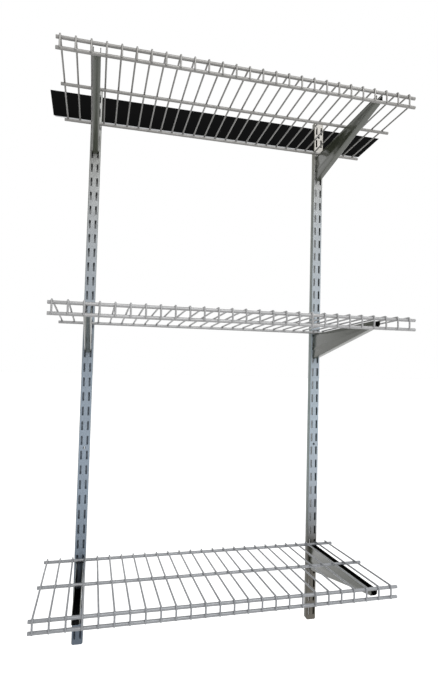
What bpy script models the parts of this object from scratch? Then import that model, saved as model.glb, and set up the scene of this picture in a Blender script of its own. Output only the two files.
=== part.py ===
"""Wall-hung garage shelving: a hang rail and its cover, two slotted uprights, six brackets, three wire decks.

Metres, +Z up. The front looks towards -Y and the wall is the plane y = 0. The origin lies on the rail's
back, at half its height, midway between the uprights.
"""

import math

import bmesh
import bpy

MM = 0.001

# Gap between two pieces that seat on each other, and how far a cutter runs past what it cuts
SEAT_GAP = 0.3 * MM
OVERRUN = 3.0 * MM

# Uprights: rolled sections with two columns of slots and an open seam down the back
UPRIGHT_SPACING = 541.0 * MM
UPRIGHT_WIDTH = 23.8 * MM
UPRIGHT_DEPTH = 15.0 * MM
UPRIGHT_SHEET = 1.5 * MM
UPRIGHT_FOLD_RADIUS = 2.0 * MM
UPRIGHT_FOOT_RADIUS = 4.0 * MM
UPRIGHT_FOOT_STEPS = 4
UPRIGHT_SEAM = 1.0 * MM
UPRIGHT_END_MARGIN = 21.0 * MM
UPRIGHT_ABOVE_RAIL = 41.7 * MM
SLOT_PITCH = 31.75 * MM
SLOT_ROWS = 38
SLOT_HEIGHT = 19.0 * MM
SLOT_WIDTH = 4.0 * MM
SLOT_COLUMN_SPACING = 12.2 * MM
UPRIGHT_HOLE_DIAMETER = 5.5 * MM
SLOT_COUNTS_BELOW_HOLES = (13, 37)
HOLE_SIDES = 16

# Hang rail: a back plate with an upturned lip along each long edge
RAIL_HEIGHT = 52.0 * MM
RAIL_DEPTH = 8.0 * MM
RAIL_SHEET = 1.8 * MM
RAIL_TROUGH_DROP = 9.0 * MM
RAIL_LIP_RISE = 1.0 * MM
RAIL_END_INSET = 3.0 * MM
RAIL_SCREW_MARGIN = 44.0 * MM
RAIL_SCREW_COUNT = 4

# Cover: a bare moulded strip that snaps onto the rail's lips, its top edge longer than its lower edge
COVER_HEIGHT = 56.0 * MM
COVER_WALL = 2.0 * MM
COVER_LEG = 4.0 * MM
COVER_LEG_WALL = 1.4 * MM
COVER_LEFT_RUN = 101.0 * MM
COVER_LEFT_SLOPE = 9.0 * MM
COVER_RIGHT_RUN = 171.9 * MM
COVER_RIGHT_SLOPE = 58.0 * MM

# Wall screws
SCREW_SHANK_DIAMETER = 4.8 * MM
SCREW_HEAD_DIAMETER = 10.0 * MM
SCREW_HEAD_HEIGHT = 3.2 * MM
SCREW_HOLE_DIAMETER = 5.4 * MM
SCREW_LENGTH = 38.0 * MM
SCREW_TIP = 6.0 * MM
SCREW_SIDES = 12
SCREW_CROWN_SHARE = 0.62
SCREW_RIM_SHARE = 0.45
RECESS_ARM = 5.0 * MM
RECESS_WIDTH = 1.2 * MM
RECESS_DEPTH = 1.6 * MM

# How the uprights hook onto the rail
HOOK_TOOTH_DROP = 6.5 * MM
NOTCH_SIDE_GAP = 0.7 * MM

# Brackets: folded channels, open along the top and at the front
BRACKET_SHEET = 1.5 * MM
BRACKET_NOSE_GAP = 0.6 * MM
BRACKET_NOSE_DEPTH = 15.0 * MM
BRACKET_ROOT_DEPTH = 63.5 * MM
BRACKET_NOSE_RADIUS = 3.0 * MM
HOOK_DROP = 7.0 * MM
HOOK_THICKNESS = 2.6 * MM
HOOK_ROW_COUNT = 2

# Wire decks
ROD_DIAMETER = 6.35 * MM
ROD_SIDES = 8
ROD_SPACING = 134.4 * MM
BACK_ROD_OFFSET = 10.0 * MM
LIP_DROP = 18.3 * MM
CROSS_WIRE = 3.4 * MM
CROSS_WIRE_PITCH = 25.5 * MM
CROSS_WIRE_BEND_RADIUS = 5.0 * MM
CROSS_WIRE_TAIL = 1.5 * MM
CROSS_WIRE_BACK_OVERHANG = 4.2 * MM
WELD_BITE = 0.5 * MM
DECK_TILT = math.radians(2.93)
DECK_RISE = 11.0 * MM
DECK_LEFT_MARGIN = 7.0 * MM
DECK_RIGHT_MARGIN = 15.0 * MM
CLIPPED_WIRE_REACH = 243.0 * MM
BEND_STEPS = 3

# Levels from the top down: slots below the one with the upper hook, and how far the deck runs past the
# uprights' centres. One deck has its front right corner cut off by one wire.
LEVELS = ("top", "middle", "bottom")
SLOT_COUNTS_BELOW_HOOKS = (35, 21, 5)
DECK_LEFT_RUNS = (67.3 * MM, 63.3 * MM, 73.0 * MM)
DECK_RIGHT_RUNS = (102.2 * MM, 80.7 * MM, 45.5 * MM)
CLIPPED_LEVEL = "top"

# Worked out from the sizes above
LEFT_UPRIGHT_X = -UPRIGHT_SPACING / 2
RIGHT_UPRIGHT_X = UPRIGHT_SPACING / 2
UPRIGHT_FACE_Y = -UPRIGHT_DEPTH
UPRIGHT_TOP_Z = UPRIGHT_ABOVE_RAIL
UPRIGHT_LENGTH = (SLOT_ROWS - 1) * SLOT_PITCH + 2 * UPRIGHT_END_MARGIN
UPRIGHT_FOOT_Z = UPRIGHT_TOP_Z - UPRIGHT_LENGTH
BRACKET_WIDTH = SLOT_COLUMN_SPACING + BRACKET_SHEET
COVER_LEFT_X = LEFT_UPRIGHT_X - COVER_LEFT_RUN
COVER_RIGHT_X = RIGHT_UPRIGHT_X + COVER_RIGHT_RUN
COVER_BACK_Y = -RAIL_DEPTH - SEAT_GAP
COVER_FRONT_Y = COVER_BACK_Y - COVER_WALL
ROD_RADIUS = ROD_DIAMETER / 2


def clear_scene():
    for old in list(bpy.data.objects):
        bpy.data.objects.remove(old, do_unlink=True)


def material(name, colour, roughness, metallic):
    made = bpy.data.materials.new(name)
    made.use_nodes = True
    shader = made.node_tree.nodes["Principled BSDF"]
    shader.inputs["Base Color"].default_value = (*colour, 1)
    shader.inputs["Roughness"].default_value = roughness
    shader.inputs["Metallic"].default_value = metallic
    made.diffuse_color = (*colour, 1)
    return made


def add_object(name, mesh, finish):
    made = bpy.data.objects.new(name, mesh)
    bpy.context.scene.collection.objects.link(made)
    if finish:
        mesh.materials.append(finish)
    return made


def mesh_of(name, shell):
    """A mesh from a bmesh, with its faces turned outwards."""
    bmesh.ops.recalc_face_normals(shell, faces=shell.faces)
    mesh = bpy.data.meshes.new(name)
    shell.to_mesh(mesh)
    shell.free()
    return mesh


def add_prism(shell, low_ring, high_ring):
    """Joins two rings of as many points by side faces and caps them."""
    low = [shell.verts.new(point) for point in low_ring]
    high = [shell.verts.new(point) for point in high_ring]
    shell.faces.new(low)
    shell.faces.new(high)
    for i, corner in enumerate(low):
        j = (i + 1) % len(low)
        shell.faces.new((corner, low[j], high[j], high[i]))


def add_bar(shell, outline, left, right):
    """An outline in the YZ plane carried from x = left to x = right."""
    add_prism(
        shell,
        [(left, y, z) for y, z in outline],
        [(right, y, z) for y, z in outline],
    )


def arc(centre, radius, start, end, steps):
    """Points on a circular arc, its angles measured from the first axis of the plane."""
    points = []
    for i in range(steps + 1):
        angle = start + (end - start) * i / steps
        across = centre[0] + radius * math.cos(angle)
        along = centre[1] + radius * math.sin(angle)
        points.append((across, along))
    return points


def cutter(name, mesh):
    made = add_object(name, mesh, None)
    made.hide_render = True
    made.display_type = "WIRE"
    return made


def boolean(target, operation, other):
    modifier = target.modifiers.new(f"{operation.lower()}_{other.name}", "BOOLEAN")
    modifier.operation = operation
    modifier.solver = "EXACT"
    modifier.object = other


def slot_centre(row):
    return UPRIGHT_FOOT_Z + UPRIGHT_END_MARGIN + row * SLOT_PITCH


def hook_seat(row):
    """Height of the lower edge of a slot, where a hook bears."""
    return slot_centre(row) - SLOT_HEIGHT / 2


def rail_section():
    """The rail's outline: a back plate whose two flanges end in lips that stand up."""
    back = 0.0
    inner = -RAIL_SHEET
    front = -RAIL_DEPTH
    lip_inner = front + RAIL_SHEET
    top = RAIL_HEIGHT / 2
    bottom = -top
    trough = top - RAIL_TROUGH_DROP
    lower_lip = bottom + RAIL_TROUGH_DROP
    return [
        (back, bottom),
        (back, top),
        (inner, top),
        (inner, trough + RAIL_SHEET),
        (lip_inner, trough + RAIL_SHEET),
        (lip_inner, top + RAIL_LIP_RISE),
        (front, top + RAIL_LIP_RISE),
        (front, trough),
        (inner, trough),
        (inner, bottom + RAIL_SHEET),
        (lip_inner, bottom + RAIL_SHEET),
        (lip_inner, lower_lip),
        (front, lower_lip),
        (front, bottom),
    ]


def cover_section():
    """The cover's outline: a flat strip with two legs that grip between the rail's lips."""
    top = COVER_HEIGHT / 2
    leg_end = COVER_BACK_Y + COVER_LEG
    upper_leg = RAIL_HEIGHT / 2 - RAIL_TROUGH_DROP - SEAT_GAP
    lower_leg = -RAIL_HEIGHT / 2 + RAIL_TROUGH_DROP + SEAT_GAP
    return [
        (COVER_FRONT_Y, -top),
        (COVER_FRONT_Y, top),
        (COVER_BACK_Y, top),
        (COVER_BACK_Y, upper_leg),
        (leg_end, upper_leg),
        (leg_end, upper_leg - COVER_LEG_WALL),
        (COVER_BACK_Y, upper_leg - COVER_LEG_WALL),
        (COVER_BACK_Y, lower_leg + COVER_LEG_WALL),
        (leg_end, lower_leg + COVER_LEG_WALL),
        (leg_end, lower_leg),
        (COVER_BACK_Y, lower_leg),
        (COVER_BACK_Y, -top),
    ]


def sloped_ends(z, inset):
    """Left and right end at a height: the cover's sloped ends, drawn in by the inset."""
    fall = (COVER_HEIGHT / 2 - z) / COVER_HEIGHT
    left = COVER_LEFT_X + COVER_LEFT_SLOPE * fall + inset
    right = COVER_RIGHT_X - COVER_RIGHT_SLOPE * fall - inset
    return left, right


def sloped_bar(name, section, inset, finish):
    """A section carried along the rail, its ends sloped as the cover's ends are."""
    shell = bmesh.new()
    add_prism(
        shell,
        [(sloped_ends(z, inset)[0], y, z) for y, z in section],
        [(sloped_ends(z, inset)[1], y, z) for y, z in section],
    )
    return add_object(name, mesh_of(name, shell), finish)


def screw_places():
    """Evenly spaced along the rail's centre line, with the same margin at both ends."""
    left, right = sloped_ends(0, RAIL_END_INSET + RAIL_SCREW_MARGIN)
    step = (right - left) / (RAIL_SCREW_COUNT - 1)
    return [left + step * i for i in range(RAIL_SCREW_COUNT)]


def add_cylinder(shell, x, z, radius, sides, near, far):
    """A round bar along Y between two depths."""
    ring = [(x + u, z + v) for u, v in arc((0, 0), radius, 0, math.tau, sides)[:-1]]
    add_prism(
        shell,
        [(u, near, v) for u, v in ring],
        [(u, far, v) for u, v in ring],
    )


def make_rail():
    steel = material("rail_steel", (0.5, 0.51, 0.52), 0.45, 0.9)
    rail = sloped_bar("hang_rail", rail_section(), RAIL_END_INSET, steel)
    shell = bmesh.new()
    for x in screw_places():
        radius = SCREW_HOLE_DIAMETER / 2
        add_cylinder(shell, x, 0, radius, HOLE_SIDES, -RAIL_SHEET - OVERRUN, OVERRUN)
    boolean(rail, "DIFFERENCE", cutter("rail_holes", mesh_of("rail_holes", shell)))


def make_cover():
    plastic = material("cover_plastic", (0.02, 0.02, 0.022), 0.5, 0.0)
    sloped_bar("rail_cover", cover_section(), 0, plastic)


def screw_mesh():
    """A pan head and a pointed shank turned about the Y axis, with a cross recess cut later."""
    head = SCREW_HEAD_DIAMETER / 2
    shank = SCREW_SHANK_DIAMETER / 2
    seat = -RAIL_SHEET - SEAT_GAP
    crown = seat - SCREW_HEAD_HEIGHT
    tip = seat + SCREW_LENGTH
    profile = (
        (crown, head * SCREW_CROWN_SHARE),
        (crown + SCREW_HEAD_HEIGHT * SCREW_RIM_SHARE, head),
        (seat, head),
        (seat, shank),
        (tip - SCREW_TIP, shank),
    )
    shell = bmesh.new()
    rings = []
    for y, radius in profile:
        ring = arc((0, 0), radius, 0, math.tau, SCREW_SIDES)[:-1]
        rings.append([shell.verts.new((x, y, z)) for x, z in ring])
    shell.faces.new(rings[0])
    for near, far in zip(rings, rings[1:]):
        for i, corner in enumerate(near):
            j = (i + 1) % len(near)
            shell.faces.new((corner, near[j], far[j], far[i]))
    point = shell.verts.new((0, tip, 0))
    for i, corner in enumerate(rings[-1]):
        shell.faces.new((corner, rings[-1][(i + 1) % SCREW_SIDES], point))
    return mesh_of("rail_screw", shell)


def recess_mesh():
    """Two crossed blades at the crown of a screw's head."""
    crown = -RAIL_SHEET - SEAT_GAP - SCREW_HEAD_HEIGHT
    arm = RECESS_ARM / 2
    wide = RECESS_WIDTH / 2
    outline = [
        (-arm, -wide), (-wide, -wide), (-wide, -arm), (wide, -arm), (wide, -wide), (arm, -wide),
        (arm, wide), (wide, wide), (wide, arm), (-wide, arm), (-wide, wide), (-arm, wide),
    ]
    shell = bmesh.new()
    add_prism(
        shell,
        [(x, crown - OVERRUN, z) for x, z in outline],
        [(x, crown + RECESS_DEPTH, z) for x, z in outline],
    )
    return mesh_of("screw_recess", shell)


def make_screws():
    zinc = material("screw_zinc", (0.62, 0.62, 0.6), 0.35, 1.0)
    body = screw_mesh()
    blades = recess_mesh()
    for i, x in enumerate(screw_places(), 1):
        screw = add_object(f"rail_screw_{i}", body.copy(), zinc)
        screw.location.x = x
        recess = cutter(f"recess_{i}", blades)
        recess.location.x = x
        boolean(screw, "DIFFERENCE", recess)


def upright_plan():
    """The upright's plan in X and Y: a face, two sides and two returns that nearly meet at the back."""
    half = UPRIGHT_WIDTH / 2
    front = UPRIGHT_FACE_Y
    outer = UPRIGHT_FOLD_RADIUS
    bend = half - outer
    inside = half - UPRIGHT_SHEET
    seam = UPRIGHT_SEAM / 2
    plan = [(-seam, 0), (-half, 0), (-half, front + outer)]
    plan += arc((-bend, front + outer), outer, math.pi, math.pi * 1.5, BEND_STEPS)[1:]
    plan += arc((bend, front + outer), outer, -math.pi / 2, 0, BEND_STEPS)
    plan += [(half, 0), (seam, 0), (seam, -UPRIGHT_SHEET), (inside, -UPRIGHT_SHEET)]
    plan += [(inside, front + outer), (bend, front + UPRIGHT_SHEET)]
    plan += [(-bend, front + UPRIGHT_SHEET), (-inside, front + outer)]
    plan += [(-inside, -UPRIGHT_SHEET), (-seam, -UPRIGHT_SHEET)]
    return plan


def rail_notch():
    """Outline in Y and Z of what is cut from the back: room for the rail, under a tooth behind its lip."""
    wall = OVERRUN
    front = COVER_FRONT_Y - NOTCH_SIDE_GAP
    below = -COVER_HEIGHT / 2 - NOTCH_SIDE_GAP
    above_cover = COVER_HEIGHT / 2 + SEAT_GAP
    lip_top = RAIL_HEIGHT / 2 + RAIL_LIP_RISE + SEAT_GAP
    lip_front = COVER_BACK_Y + SEAT_GAP / 2
    tooth_front = -RAIL_DEPTH + RAIL_SHEET + SEAT_GAP
    tooth_back = -RAIL_SHEET - SEAT_GAP
    tooth_end = lip_top - HOOK_TOOTH_DROP
    plate_top = RAIL_HEIGHT / 2 + SEAT_GAP
    return [
        (wall, below),
        (front, below),
        (front, above_cover),
        (lip_front, above_cover),
        (lip_front, lip_top),
        (tooth_front, lip_top),
        (tooth_front, tooth_end),
        (tooth_back, tooth_end),
        (tooth_back, plate_top),
        (wall, plate_top),
    ]


def foot_cutter(side):
    """The corner outside a rounded foot, in X and Z, for the left or the right edge of an upright."""
    half = UPRIGHT_WIDTH / 2
    radius = UPRIGHT_FOOT_RADIUS
    low = UPRIGHT_FOOT_Z
    curve = arc((half - radius, low + radius), radius, -math.pi / 2, 0, UPRIGHT_FOOT_STEPS)
    outline = curve + [
        (half + OVERRUN, low + radius),
        (half + OVERRUN, low - OVERRUN),
        (half - radius, low - OVERRUN),
    ]
    return [(side * x, z) for x, z in outline]


def make_upright(name, x, finish):
    plan = upright_plan()
    shell = bmesh.new()
    add_prism(
        shell,
        [(u, v, UPRIGHT_FOOT_Z) for u, v in plan],
        [(u, v, UPRIGHT_TOP_Z) for u, v in plan],
    )
    upright = add_object(name, mesh_of(name, shell), finish)
    upright.location.x = x

    slots = bmesh.new()
    for row in range(SLOT_ROWS):
        z = slot_centre(row)
        for side in (-1, 1):
            middle = side * SLOT_COLUMN_SPACING / 2
            outline = [
                (UPRIGHT_FACE_Y - OVERRUN, z - SLOT_HEIGHT / 2),
                (UPRIGHT_FACE_Y + OVERRUN, z - SLOT_HEIGHT / 2),
                (UPRIGHT_FACE_Y + OVERRUN, z + SLOT_HEIGHT / 2),
                (UPRIGHT_FACE_Y - OVERRUN, z + SLOT_HEIGHT / 2),
            ]
            add_bar(slots, outline, middle - SLOT_WIDTH / 2, middle + SLOT_WIDTH / 2)
    for count in SLOT_COUNTS_BELOW_HOLES:
        z = slot_centre(count) - SLOT_PITCH / 2
        add_cylinder(
            slots, 0, z, UPRIGHT_HOLE_DIAMETER / 2, HOLE_SIDES,
            UPRIGHT_FACE_Y - OVERRUN, UPRIGHT_FACE_Y + OVERRUN,
        )
    slot_cutter = cutter(f"{name}_slots", mesh_of(f"{name}_slots", slots))

    ends = bmesh.new()
    reach = UPRIGHT_WIDTH / 2 + OVERRUN
    add_bar(ends, rail_notch(), -reach, reach)
    for side in (-1, 1):
        outline = foot_cutter(side)
        add_prism(
            ends,
            [(u, UPRIGHT_FACE_Y - OVERRUN, v) for u, v in outline],
            [(u, OVERRUN, v) for u, v in outline],
        )
    end_cutter = cutter(f"{name}_ends", mesh_of(f"{name}_ends", ends))

    for each in (slot_cutter, end_cutter):
        each.location.x = x
        boolean(upright, "DIFFERENCE", each)


def deck_line(offset):
    """Height of the rods' centre line above the upper hook's seat, at a distance in front of the uprights."""
    return DECK_RISE + (offset - BACK_ROD_OFFSET) * math.tan(DECK_TILT)


def rod_corner():
    """Distance from a rod's centre line to the corners of its many-sided section."""
    return ROD_RADIUS / math.cos(math.pi / ROD_SIDES)


def nose_offset():
    return BACK_ROD_OFFSET + 2 * ROD_SPACING - rod_corner() - BRACKET_NOSE_GAP


def bracket_keel(raised):
    """Ends of the bracket's lower edge: offsets from the upright's face and heights above the hook's seat."""
    root = SEAT_GAP
    nose = nose_offset()
    root_height = deck_line(root) - BRACKET_ROOT_DEPTH + raised
    nose_height = deck_line(nose) - BRACKET_NOSE_DEPTH + raised
    return (root, root_height), (nose, nose_height)


def along(first, second, offset):
    """Height at an offset on the straight line through two points."""
    slope = (second[1] - first[1]) / (second[0] - first[0])
    return first[1] + slope * (offset - first[0])


def bracket_side(seat):
    """The bracket's side outline in Y and Z: a tapering arm with a row of hooks that turn down."""
    face = UPRIGHT_FACE_Y
    (root, root_height), (nose, nose_height) = keel = bracket_keel(0)
    bend = nose - BRACKET_NOSE_RADIUS
    crest = ROD_RADIUS + SEAT_GAP
    neck = deck_line(root) - crest - SEAT_GAP
    hook_front = face + UPRIGHT_SHEET + SEAT_GAP
    hook_back = hook_front + HOOK_THICKNESS
    outline = [
        (face - root, seat + root_height),
        (face - bend, seat + along(*keel, bend)),
        (face - nose, seat + nose_height + BRACKET_NOSE_RADIUS),
        (face - nose, seat + deck_line(nose) - crest),
    ]
    for level in range(HOOK_ROW_COUNT):
        base = seat - level * SLOT_PITCH + SEAT_GAP
        outline += [
            (face - root, base + neck),
            (hook_back, base + neck),
            (hook_back, base - HOOK_DROP),
            (hook_front, base - HOOK_DROP),
            (hook_front, base),
            (face - root, base),
        ]
    return outline


def bracket_hollow(seat):
    """Outline in Y and Z of what is taken out between the walls: all above a floor along the keel."""
    face = UPRIGHT_FACE_Y
    keel = bracket_keel(BRACKET_SHEET)
    behind = -(UPRIGHT_SHEET + HOOK_THICKNESS + SEAT_GAP + OVERRUN)
    ahead = nose_offset() + OVERRUN
    above = seat + deck_line(ahead) + OVERRUN
    return [
        (face - behind, seat + along(*keel, behind)),
        (face - ahead, seat + along(*keel, ahead)),
        (face - ahead, above),
        (face - behind, above),
    ]


def make_bracket(name, x, row, finish):
    """A folded channel: the outer block less its inside, so that two walls and a sloping floor are left."""
    seat = hook_seat(row)
    shell = bmesh.new()
    add_bar(shell, bracket_side(seat), -BRACKET_WIDTH / 2, BRACKET_WIDTH / 2)
    bracket = add_object(name, mesh_of(name, shell), finish)
    bracket.location.x = x

    hollow = bmesh.new()
    half = BRACKET_WIDTH / 2 - BRACKET_SHEET
    add_bar(hollow, bracket_hollow(seat), -half, half)
    inner = cutter(f"{name}_inside", mesh_of(f"{name}_inside", hollow))
    inner.location.x = x
    boolean(bracket, "DIFFERENCE", inner)


def rod_outline(offset, drop, seat):
    """A rod's many-sided section in Y and Z, turned with the deck so that its flats lie along the wires."""
    radius = rod_corner()
    y = UPRIGHT_FACE_Y - offset
    z = seat + deck_line(offset) - drop
    start = math.pi / ROD_SIDES - DECK_TILT
    return arc((y, z), radius, start, start + math.tau, ROD_SIDES)[:-1]


def deck_point(seat, offset, lift):
    """A point at a distance from the uprights' face and a height square to the deck's slope."""
    y = UPRIGHT_FACE_Y - offset + lift * math.sin(DECK_TILT)
    z = seat + deck_line(offset) + lift * math.cos(DECK_TILT)
    return y, z


def wire_outline(seat, bent):
    """A cross wire's side outline: flat over the rods and, where bent, turned down in front of the lip."""
    under = ROD_RADIUS - WELD_BITE
    over = under + CROSS_WIRE
    back = BACK_ROD_OFFSET - CROSS_WIRE_BACK_OVERHANG
    start = [deck_point(seat, back, under), deck_point(seat, back, over)]
    if not bent:
        end = CLIPPED_WIRE_REACH
        return start + [deck_point(seat, end, over), deck_point(seat, end, under)]
    lip = BACK_ROD_OFFSET + 2 * ROD_SPACING
    bend_offset = lip + over - CROSS_WIRE_BEND_RADIUS
    bend = deck_point(seat, bend_offset, over - CROSS_WIRE_BEND_RADIUS)
    tail = seat + deck_line(lip) - LIP_DROP - CROSS_WIRE_TAIL
    level = math.pi / 2 - DECK_TILT
    outer = arc(bend, CROSS_WIRE_BEND_RADIUS, level, math.pi, BEND_STEPS)
    inner = arc(bend, CROSS_WIRE_BEND_RADIUS - CROSS_WIRE, math.pi, level, BEND_STEPS)
    return start + outer + [(outer[-1][0], tail), (inner[0][0], tail)] + inner


def make_deck(name, row, left_run, right_run, clipped, finish):
    """Four rods along the deck and the cross wires welded over them. A clipped deck's last wire lies flat."""
    seat = hook_seat(row)
    left = LEFT_UPRIGHT_X - left_run
    first_wire = left + DECK_LEFT_MARGIN
    wired_length = UPRIGHT_SPACING + left_run + right_run - DECK_LEFT_MARGIN - DECK_RIGHT_MARGIN
    wire_count = round(wired_length / CROSS_WIRE_PITCH) + 1
    last_wire = first_wire + (wire_count - 1) * CROSS_WIRE_PITCH
    right = last_wire + DECK_RIGHT_MARGIN
    short_right = right - CROSS_WIRE_PITCH if clipped else right
    front_offset = BACK_ROD_OFFSET + 2 * ROD_SPACING

    rods = bmesh.new()
    add_bar(rods, rod_outline(BACK_ROD_OFFSET, 0, seat), left, right)
    add_bar(rods, rod_outline(BACK_ROD_OFFSET + ROD_SPACING, 0, seat), left, right)
    add_bar(rods, rod_outline(front_offset, 0, seat), left, short_right)
    add_bar(rods, rod_outline(front_offset, LIP_DROP, seat), left, short_right)
    deck = add_object(name, mesh_of(name, rods), finish)

    wires = bmesh.new()
    for i in range(wire_count):
        flat = clipped and i == wire_count - 1
        middle = first_wire + i * CROSS_WIRE_PITCH
        outline = wire_outline(seat, not flat)
        add_bar(wires, outline, middle - CROSS_WIRE / 2, middle + CROSS_WIRE / 2)
    boolean(deck, "UNION", cutter(f"{name}_wires", mesh_of(f"{name}_wires", wires)))


def main():
    clear_scene()
    make_rail()
    make_cover()
    make_screws()
    left_finish = material("upright_left_grey", (0.33, 0.37, 0.42), 0.42, 0.4)
    right_finish = material("upright_right_grey", (0.36, 0.4, 0.445), 0.42, 0.4)
    make_upright("upright_left", LEFT_UPRIGHT_X, left_finish)
    make_upright("upright_right", RIGHT_UPRIGHT_X, right_finish)
    runs = zip(LEVELS, SLOT_COUNTS_BELOW_HOOKS, DECK_LEFT_RUNS, DECK_RIGHT_RUNS)
    for level, row, left_run, right_run in runs:
        steel = material(f"bracket_{level}_olive", (0.11, 0.115, 0.1), 0.2, 0.1)
        make_bracket(f"bracket_{level}_left", LEFT_UPRIGHT_X, row, steel)
        make_bracket(f"bracket_{level}_right", RIGHT_UPRIGHT_X, row, steel)
        wire_grey = material(f"deck_{level}_grey", (0.29, 0.29, 0.285), 0.4, 0.3)
        make_deck(f"deck_{level}", row, left_run, right_run, level == CLIPPED_LEVEL, wire_grey)


main()
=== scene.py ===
"""Looks of a wall-hung garage shelving unit: wire decks, folded brackets, slotted uprights, rail and cover.

Metres, +Z up, the front towards -Y and the wall at y = 0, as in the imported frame. Each new piece is a surface
worked out as whole arrays of points, and takes its place from the box of the node that it stands for.
"""

import math

import bmesh
import bpy
import numpy as np
from mathutils import Matrix, Vector


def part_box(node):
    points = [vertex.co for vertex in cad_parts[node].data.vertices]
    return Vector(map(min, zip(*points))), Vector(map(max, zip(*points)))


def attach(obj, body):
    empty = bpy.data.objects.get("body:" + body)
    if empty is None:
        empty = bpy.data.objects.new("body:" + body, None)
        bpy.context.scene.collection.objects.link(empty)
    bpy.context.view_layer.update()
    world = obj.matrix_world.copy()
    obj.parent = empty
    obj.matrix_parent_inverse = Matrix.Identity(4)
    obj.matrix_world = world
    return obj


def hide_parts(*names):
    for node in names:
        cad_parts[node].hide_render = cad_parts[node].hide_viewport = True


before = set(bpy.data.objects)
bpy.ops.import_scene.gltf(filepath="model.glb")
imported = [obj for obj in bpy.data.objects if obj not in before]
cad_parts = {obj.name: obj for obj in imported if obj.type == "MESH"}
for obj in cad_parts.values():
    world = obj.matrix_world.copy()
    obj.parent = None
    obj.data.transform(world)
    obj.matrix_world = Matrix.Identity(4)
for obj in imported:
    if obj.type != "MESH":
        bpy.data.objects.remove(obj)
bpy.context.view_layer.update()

MM = 0.001

# Camera: its place, where it looks and how it is tilted, its lens and the width of its picture
CAMERA_PLACE = (-0.2562, -1.1437, -0.5610)
CAMERA_HEADING = math.radians(14.015)
CAMERA_RISE = math.radians(2.586)
CAMERA_ROLL = math.radians(-1.469)
CAMERA_LENS = 26.42
CAMERA_SENSOR = 36.0

# Stage
FLOOR_BELOW_FEET = 0.42
FLOOR_SIZE = 60.0
FLOOR_TONE = 0.9
FLOOR_ROUGHNESS = 0.9
FLOOR_GLOW = 0.85
WHITE = (1.0, 1.0, 1.0)
WORLD_LIGHT = 0.3
LAMP_TARGET = (0.0, -0.1, -0.55)
KEY_LAMP_PLACE = (0.5, -2.6, 1.3)
KEY_LAMP_SIZE = (2.4, 1.8)
KEY_LAMP_POWER = 58
SIDE_LAMP_PLACE = (2.6, -0.9, 0.2)
SIDE_LAMP_SIZE = (1.6, 2.4)
SIDE_LAMP_POWER = 10
SIDE_LAMP_COLOUR = (0.92, 0.96, 1.0)

# Meshes: points nearer than these become one, edges sharper than these angles stay sharp or are rounded off,
# and cutters reach past what they cut
SHEET_MERGE = 0.01 * MM
CUTTER_MERGE = 0.001 * MM
SMOOTH_ANGLE = math.radians(35)
SOFTENED_ANGLE = math.radians(50)
CUT_OVERRUN = 3.0 * MM

LEVELS = ("top", "middle", "bottom")
SIDES = ("left", "right")

# Decks
CLIPPED_LEVEL = "top"
ROD_RADIUS = 3.175 * MM
ROD_SIDES = 20
ROD_STATIONS = 9
SOLID_ROD_SIDES = 8
ROD_SPACING = 134.4 * MM
BACK_ROD_OFFSET = 10.0 * MM
LIP_DROP = 18.3 * MM
WIRE_RADIUS = 1.7 * MM
WIRE_SIDES = 12
WIRE_PITCH = 25.5 * MM
WIRE_BEND_RADIUS = 3.3 * MM
WIRE_BEND_STEPS = 9
WIRE_TAIL = 1.5 * MM
WIRE_BACK_OVERHANG = 4.2 * MM
WELD_BITE = 0.5 * MM
DECK_TILT = math.radians(2.93)
DECK_RISE = 11.0 * MM
DECK_LEFT_MARGIN = 7.0 * MM
DECK_RIGHT_MARGIN = 15.0 * MM
CLIPPED_WIRE_REACH = 243.0 * MM
CUT_ROUNDING = 0.45 * MM
CUT_STEPS = 4
BEAD_ACROSS = 3.1 * MM
BEAD_ALONG = 2.6 * MM
BEAD_HEIGHT = 1.1 * MM
BEAD_SIDES = 8
BEAD_BELTS = 3

# Brackets
SEAT_GAP = 0.3 * MM
BRACKET_SHEET = 1.5 * MM
BRACKET_FOLD_RADIUS = 2.2 * MM
BRACKET_NOSE_GAP = 0.6 * MM
BRACKET_NOSE_DEPTH = 15.0 * MM
BRACKET_ROOT_DEPTH = 63.5 * MM
BRACKET_NOSE_RADIUS = 3.0 * MM
BRACKET_EDGE = 0.3 * MM
KEEL_STATIONS = 28
FOLD_STEPS = 6
HOOK_DROP = 7.0 * MM
HOOK_THICKNESS = 2.6 * MM
HOOK_CORNER = 1.8 * MM
HOOK_TIP = 0.9 * MM
HOOK_COUNT = 2
HOOK_TIP_STEPS = 4

# How far a face's normal leans up, or aside, to count as looking that way
LOOKING_UP = 0.1
LOOKING_ASIDE = 0.6

# Uprights
UPRIGHT_SHEET = 1.5 * MM
UPRIGHT_FOLD_RADIUS = 2.0 * MM
UPRIGHT_FOOT_RADIUS = 4.0 * MM
UPRIGHT_FOOT_STEPS = 10
UPRIGHT_FOLD_STEPS = 5
UPRIGHT_EDGE = 0.2 * MM
UPRIGHT_SEAM = 1.0 * MM
UPRIGHT_END_MARGIN = 21.0 * MM
SLOT_PITCH = 31.75 * MM
SLOT_ROWS = 38
SLOT_HEIGHT = 19.0 * MM
SLOT_WIDTH = 4.0 * MM
SLOT_CORNER = 0.9 * MM
SLOT_COLUMN_SPACING = 12.2 * MM
SLOT_CELL_HALF = 2.9 * MM
CELL_STEPS = 6
CELL_POINTS = 4 * CELL_STEPS
CELL_ROW_SHARES = (-0.5, -0.4, -0.3, 0, 0.3, 0.4)
RING_CENTRE_SHARES = (-1, -1, -1, 0, 1, 1)
RING_LEANS = np.radians([-45, -22.5, 0, 0, 0, 22.5])
HOLE_RADIUS = 2.75 * MM
RING_START = 225
SLOTS_BELOW_HOLES = (13, 37)
NOTCH_GAP = 0.7 * MM
TOOTH_DROP = 6.5 * MM

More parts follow.
